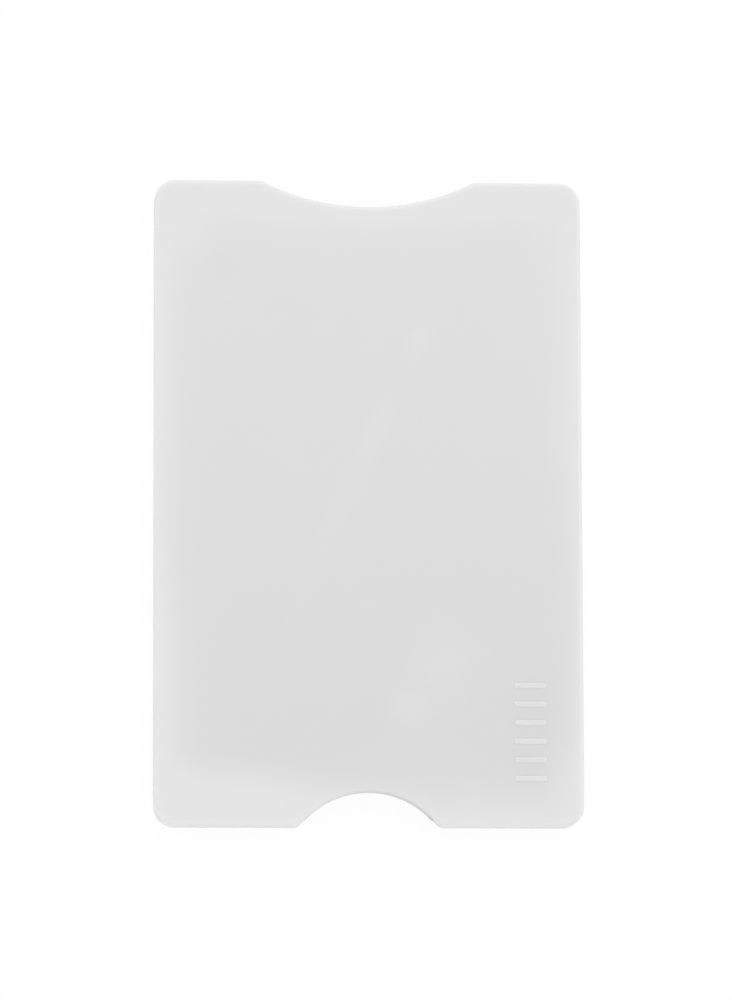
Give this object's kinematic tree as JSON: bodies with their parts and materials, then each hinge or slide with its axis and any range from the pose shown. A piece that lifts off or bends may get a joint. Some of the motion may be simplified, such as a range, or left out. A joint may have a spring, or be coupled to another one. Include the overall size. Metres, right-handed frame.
{
  "type": "plastic card case",
  "caption": "Rigid plastic case for one bank-size card, two welded covers round foil shields, open at one end, with a finger notch in each end.",
  "frame": {"origin": "middle of the rear face, in the plane that the case rests on", "axes": "+X across the case to the right as the front is read with the open end up, +Y along the case to its open end, +Z out of the front face"},
  "size_m": [0.06, 0.091, 0.0041],
  "materials": {
    "front_plastic": "fine satin, slightly translucent",
    "rear_plastic": "fine satin, slightly translucent",
    "shield_foil": "rolled foil, slightly wrinkled",
    "liner_film": "smooth film"
  },
  "bodies": {
    "root": {"front_cover": "front_plastic", "rear_cover": "rear_plastic", "front_shield": "shield_foil", "rear_shield": "shield_foil", "front_liner": "liner_film", "rear_liner": "liner_film"}
  },
  "joints": []
}
